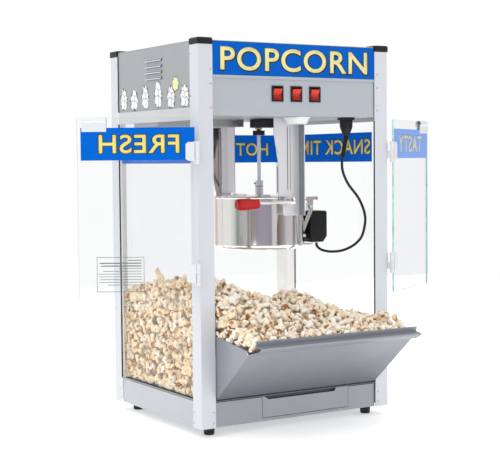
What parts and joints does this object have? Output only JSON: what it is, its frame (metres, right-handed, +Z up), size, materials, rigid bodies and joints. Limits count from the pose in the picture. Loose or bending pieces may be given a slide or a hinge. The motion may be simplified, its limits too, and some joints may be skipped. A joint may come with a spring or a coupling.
{
  "type": "countertop popcorn machine",
  "caption": "Countertop popcorn machine: four-post aluminium cabinet, tilting kettle, two glass doors, tipping chute, crumb drawer, blue sign strip and red rocker switches.",
  "frame": {"origin": "middle of the footprint of the whole machine as shown, doors and chute open, at the bottom of the feet", "axes": "+Z up, +X to the right seen from the front, -Y is the front with the doors and the chute"},
  "size_m": [0.7936, 0.499, 0.7173],
  "materials": {
    "aluminium": "satin anodised",
    "painted_sheet": "satin silver",
    "polished_steel": "polished",
    "satin_steel": "brushed",
    "cast_satin": "satin chrome",
    "black_plastic": "matte",
    "foot_rubber": "matte",
    "cable_rubber": "matte",
    "handle_red": "glossy",
    "switch_red": "glossy, lit",
    "sign_blue": "glossy",
    "glass": "clear",
    "frosted_lens": "frosted",
    "popcorn": "matte, rough, popped corn"
  },
  "bodies": {
    "cabinet": {"post_front_left": "aluminium", "post_front_right": "aluminium", "post_back_left": "aluminium", "post_back_right": "aluminium", "upper_rail_left": "aluminium", "upper_rail_right": "aluminium", "cap_front_left": "black_plastic", "cap_front_right": "black_plastic", "cap_back_left": "black_plastic", "cap_back_right": "black_plastic", "switch_bezels": "black_plastic", "motor_block": "black_plastic", "outlet_socket": "black_plastic", "lead_plug": "black_plastic", "foot_front_left": "foot_rubber", "foot_front_right": "foot_rubber", "foot_back_left": "foot_rubber", "foot_back_right": "foot_rubber", "base_tray": "painted_sheet", "floor_pan": "painted_sheet", "control_panel": "painted_sheet", "header_side_left": "painted_sheet", "header_side_right": "painted_sheet", "header_back": "painted_sheet", "header_top": "painted_sheet", "sign_panel": "sign_blue", "header_floor": "polished_steel", "hanger_rear": "polished_steel", "hanger_front": "satin_steel", "glass_left": "glass", "glass_right": "glass", "glass_back": "glass", "left_hinge_bracket_upper": "cast_satin", "left_hinge_bracket_lower": "cast_satin", "right_hinge_bracket_upper": "cast_satin", "right_hinge_bracket_lower": "cast_satin", "lamp_lens": "frosted_lens", "popcorn_heap": "popcorn"},
    "left_door": {"left_door_glass": "glass", "left_door_pull": "cast_satin", "left_door_clamp_upper": "cast_satin", "left_door_clamp_lower": "cast_satin"},
    "right_door": {"right_door_glass": "glass", "right_door_pull": "cast_satin", "right_door_clamp_upper": "cast_satin", "right_door_clamp_lower": "cast_satin"},
    "chute_flap": {"chute": "painted_sheet", "popcorn_in_chute": "popcorn"},
    "drawer": {"crumb_drawer": "painted_sheet"},
    "switch_left": {"rocker_left": "switch_red"},
    "switch_middle": {"rocker_middle": "switch_red"},
    "switch_right": {"rocker_right": "switch_red"},
    "kettle_body": {"kettle": "polished_steel", "handle_rod": "satin_steel", "handle_grip": "handle_red", "terminal_box": "black_plastic", "kettle_lead": "cable_rubber"},
    "lid": {"kettle_lid_flap": "polished_steel"},
    "drive": {"drive_coupling": "black_plastic"},
    "stirrer_shaft": {"stirrer": "satin_steel"}
  },
  "joints": [
    {"name": "left_door_swing", "type": "hinge", "parent": "cabinet", "child": "left_door", "pos_m": [-0.216, -0.1127, 0.407], "axis": [0, 0, 1], "range_deg": [-28, 212]},
    {"name": "right_door_swing", "type": "hinge", "parent": "cabinet", "child": "right_door", "pos_m": [0.216, -0.1127, 0.407], "axis": [0, 0, 1], "range_deg": [-212, 28]},
    {"name": "chute_tilt", "type": "hinge", "parent": "cabinet", "child": "chute_flap", "pos_m": [0, -0.1052, 0.0695], "axis": [-1, 0, 0], "range_deg": [0, 54], "deforming": ["popcorn_in_chute"]},
    {"name": "drawer_slide", "type": "slide", "parent": "cabinet", "child": "drawer", "axis": [0, -1, 0], "range_m": [0, 0.2]},
    {"name": "rocker_left_press", "type": "hinge", "parent": "cabinet", "child": "switch_left", "pos_m": [-0.0415, -0.0987, 0.6204], "axis": [1, 0, 0], "range_deg": [-14, 0]},
    {"name": "rocker_middle_press", "type": "hinge", "parent": "cabinet", "child": "switch_middle", "pos_m": [0, -0.0987, 0.6204], "axis": [1, 0, 0], "range_deg": [-14, 0]},
    {"name": "rocker_right_press", "type": "hinge", "parent": "cabinet", "child": "switch_right", "pos_m": [0.0415, -0.0987, 0.6204], "axis": [1, 0, 0], "range_deg": [-14, 0]},
    {"name": "kettle_tilt", "type": "hinge", "parent": "cabinet", "child": "kettle_body", "pos_m": [0.016, 0.0533, 0.4218], "axis": [0, -1, 0], "range_deg": [0, 75], "deforming": ["kettle_lead"]},
    {"name": "lid_lift", "type": "hinge", "parent": "kettle_body", "child": "lid", "pos_m": [0.0028, 0.0533, 0.4302], "axis": [0, 1, 0], "range_deg": [0, 75]},
    {"name": "coupling_spin", "type": "hinge", "parent": "cabinet", "child": "drive", "pos_m": [0.016, 0.0533, 0.553], "axis": [0, 0, 1], "continuous": true},
    {"name": "stirrer_spin", "type": "hinge", "parent": "kettle_body", "child": "stirrer_shaft", "pos_m": [0.016, 0.0533, 0.447], "axis": [0, 0, 1], "continuous": true}
  ],
  "couplings": [
    {"joint": "coupling_spin", "follows": "stirrer_spin", "ratio": 1}
  ]
}
